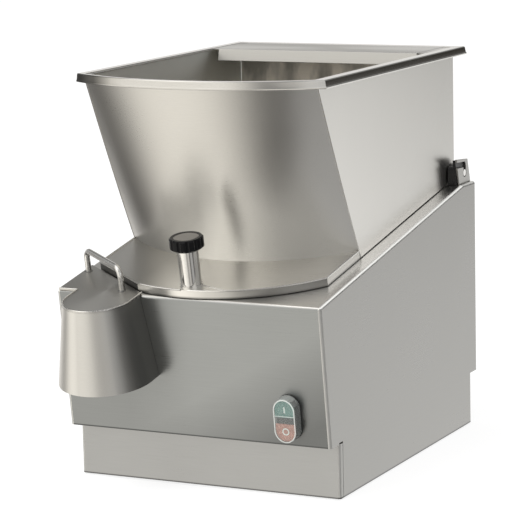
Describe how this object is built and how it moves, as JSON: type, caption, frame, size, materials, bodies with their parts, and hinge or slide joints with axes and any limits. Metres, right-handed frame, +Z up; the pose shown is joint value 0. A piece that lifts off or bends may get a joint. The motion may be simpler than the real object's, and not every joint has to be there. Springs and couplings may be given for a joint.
{
  "type": "potato chipper",
  "caption": "Counter-top potato chipper: tilting steel hopper over a spinning feed disc, knife grid with lift-out chute, lock knob and push buttons on a stepped sheet-metal base.",
  "frame": {"origin": "on the table, under the middle of the whole outline", "axes": "+X to the machine's right as seen from the front, +Y to the rear (hinge side), +Z up"},
  "size_m": [0.39, 0.614, 0.554],
  "materials": {
    "stainless": "satin brushed",
    "plain_steel": "plain",
    "polished_steel": "polished",
    "cast_aluminium": "as cast",
    "motor_paint": "satin paint",
    "motor_iron": "plain",
    "winding": "copper wire",
    "black_rubber": "matt",
    "black_plastic": "gloss",
    "grey_plastic": "matt",
    "clear_boot": "clear, soft",
    "green_plastic": "gloss",
    "red_plastic": "gloss"
  },
  "bodies": {
    "base": {"housing": "stainless", "left_side_panel": "stainless", "right_side_panel": "stainless", "rear_panel": "stainless", "front_plinth": "stainless", "rear_plinth": "stainless", "base_plate": "plain_steel", "rubber_feet": "black_rubber", "rear_panel_screws": "plain_steel", "cable_gland": "black_plastic", "control_box": "grey_plastic", "chamber": "cast_aluminium", "bearing_housing": "cast_aluminium", "rotor_bearings": "plain_steel", "shaft_seal": "black_rubber", "bearing_bolts": "plain_steel", "motor_case": "motor_paint", "motor_stator": "winding", "motor_end_caps": "cast_aluminium", "motor_bracket": "plain_steel", "motor_bolts": "plain_steel", "drive_belt": "black_rubber", "switch_collar": "black_plastic", "switch_boot": "clear_boot", "contact_block": "black_plastic", "hinge_brackets": "plain_steel", "hinge_blocks": "black_plastic", "lock_keeper": "plain_steel"},
    "hopper": {"hopper_shell": "stainless", "hopper_rim": "stainless", "hopper_flange": "stainless", "rear_guard": "stainless", "hinge_pins": "polished_steel", "lock_post": "polished_steel"},
    "lock": {"lock_spindle": "polished_steel", "lock_knob": "black_plastic", "knob_cap": "grey_plastic"},
    "cassette": {"chute": "stainless", "handle": "polished_steel", "knife_frame": "polished_steel", "upright_blades": "polished_steel", "level_blades": "polished_steel"},
    "rotor": {"rotor_disc": "polished_steel", "rotor_nut": "polished_steel", "rotor_shaft": "plain_steel", "rotor_pulley": "cast_aluminium"},
    "motor_rotor": {"motor_core": "motor_iron", "motor_shaft": "plain_steel", "motor_pulley": "cast_aluminium"},
    "start_button": {"start_button": "green_plastic"},
    "stop_button": {"stop_button": "red_plastic"}
  },
  "joints": [
    {"name": "hopper_tilt", "type": "hinge", "parent": "base", "child": "hopper", "pos_m": [0, 0.28458, 0.37226], "axis": [-1, 0, 0], "range_deg": [0, 80]},
    {"name": "lock_turn", "type": "hinge", "parent": "hopper", "child": "lock", "pos_m": [0, -0.21116, 0.27079], "axis": [0, -0.1805, 0.9836], "range_deg": [0, 90]},
    {"name": "cassette_lift", "type": "slide", "parent": "base", "child": "cassette", "axis": [0, -0.1805, 0.9836], "range_m": [0, 0.15]},
    {"name": "rotor_spin", "type": "hinge", "parent": "base", "child": "rotor", "pos_m": [0, -0.00067, 0.30942], "axis": [0, -0.1805, 0.9836], "continuous": true},
    {"name": "motor_spin", "type": "hinge", "parent": "base", "child": "motor_rotor", "pos_m": [0.12, 0.20786, 0.34769], "axis": [0, -0.1805, 0.9836], "continuous": true},
    {"name": "start_press", "type": "slide", "parent": "base", "child": "start_button", "axis": [0, 0.9917, 0.1288], "range_m": [0, 0.0035], "stiffness_N_per_m": 600},
    {"name": "stop_press", "type": "slide", "parent": "base", "child": "stop_button", "axis": [0, 0.9917, 0.1288], "range_m": [0, 0.0035], "stiffness_N_per_m": 600}
  ],
  "couplings": [
    {"joint": "motor_spin", "follows": "rotor_spin", "ratio": 3.5417}
  ]
}
